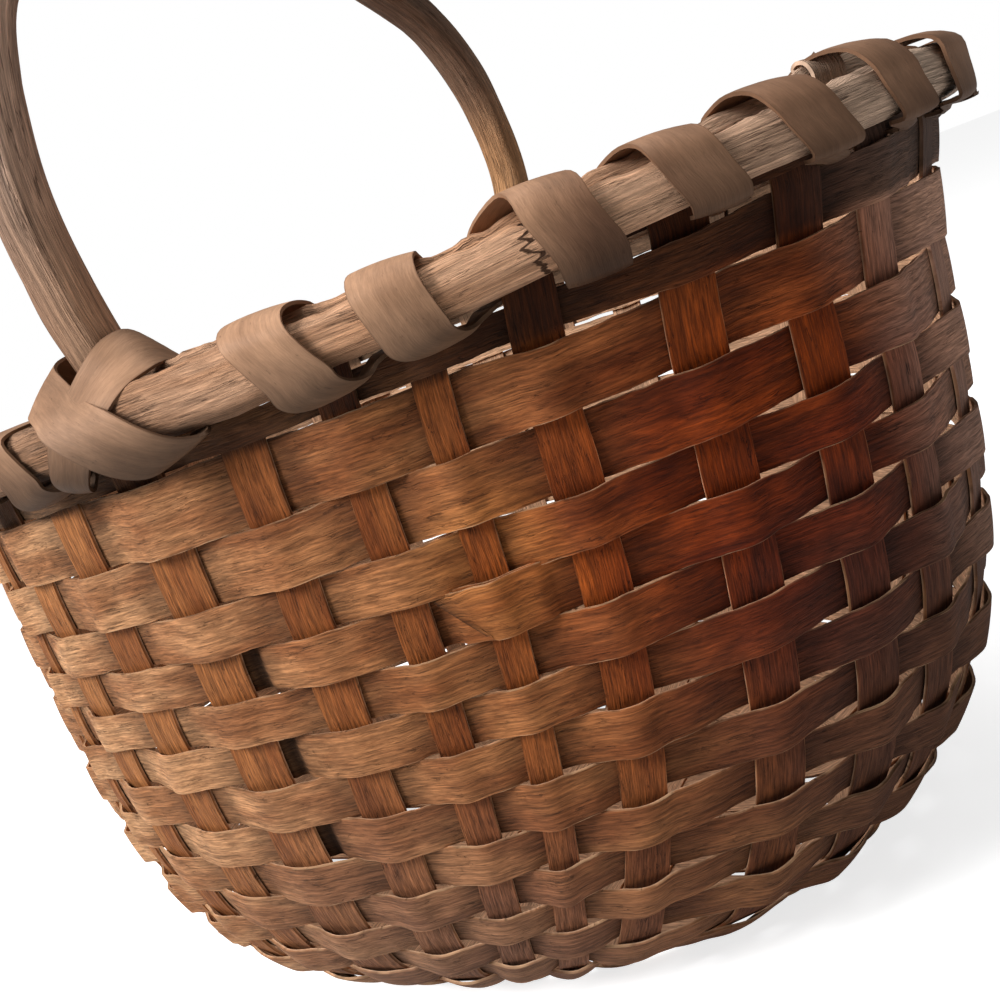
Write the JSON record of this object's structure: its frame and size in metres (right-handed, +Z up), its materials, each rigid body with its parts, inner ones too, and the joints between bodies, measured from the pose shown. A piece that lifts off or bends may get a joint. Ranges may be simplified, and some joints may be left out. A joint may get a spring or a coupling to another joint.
{
  "type": "gathering basket",
  "caption": "Deep oval plaited splint basket with rounded body, bentwood rim hoops bound by flat splint lashing, and a fixed carved bow handle.",
  "frame": {"origin": "on the ground, under the middle of the basket's outline", "axes": "+Z up, +X along the basket's long axis, +Y across it; the handle stands in the plane near X = 0 and its near foot is on the -Y side"},
  "size_m": [0.5534, 0.3744, 0.485],
  "materials": {
    "weaver_splint": "dry split ash, warm tan brown, darkened by age",
    "stake_splint": "dry split ash, red brown, worn smooth",
    "rim_hoop_wood": "riven oak, weathered straw brown",
    "lashing_splint": "thin split ash, grey tan, polished by hands",
    "handle_wood": "carved oak, weathered grey brown"
  },
  "bodies": {
    "root": {"outer_rim_hoop": "rim_hoop_wood", "inner_rim_hoop": "rim_hoop_wood", "bow_handle": "handle_wood", "lashing_right": "lashing_splint", "lashing_left": "lashing_splint", "handle_lashing_near_front": "lashing_splint", "handle_lashing_near_back": "lashing_splint", "handle_lashing_far_front": "lashing_splint", "handle_lashing_far_back": "lashing_splint", "stake_short_way_1": "stake_splint", "stake_short_way_2": "stake_splint", "stake_short_way_3": "stake_splint", "stake_short_way_4": "stake_splint", "stake_short_way_5": "stake_splint", "stake_short_way_6": "stake_splint", "stake_short_way_7": "stake_splint", "stake_short_way_8": "stake_splint", "stake_short_way_9": "stake_splint", "stake_long_way_1": "stake_splint", "stake_long_way_2": "stake_splint", "stake_long_way_3": "stake_splint", "stake_long_way_4": "stake_splint", "stake_long_way_5": "stake_splint", "stake_long_way_6": "stake_splint", "stake_long_way_7": "stake_splint", "weaver_in_rim": "weaver_splint", "weaver_row_01": "weaver_splint", "weaver_row_02": "weaver_splint", "weaver_row_03": "weaver_splint", "weaver_row_04": "weaver_splint", "weaver_row_05": "weaver_splint", "weaver_row_06": "weaver_splint", "weaver_row_07": "weaver_splint", "weaver_row_08": "weaver_splint", "weaver_row_09": "weaver_splint", "weaver_row_10": "weaver_splint", "weaver_row_11": "weaver_splint", "weaver_row_12": "weaver_splint", "weaver_row_13": "weaver_splint", "weaver_row_14": "weaver_splint", "weaver_row_15": "weaver_splint", "weaver_row_16": "weaver_splint"}
  },
  "joints": []
}
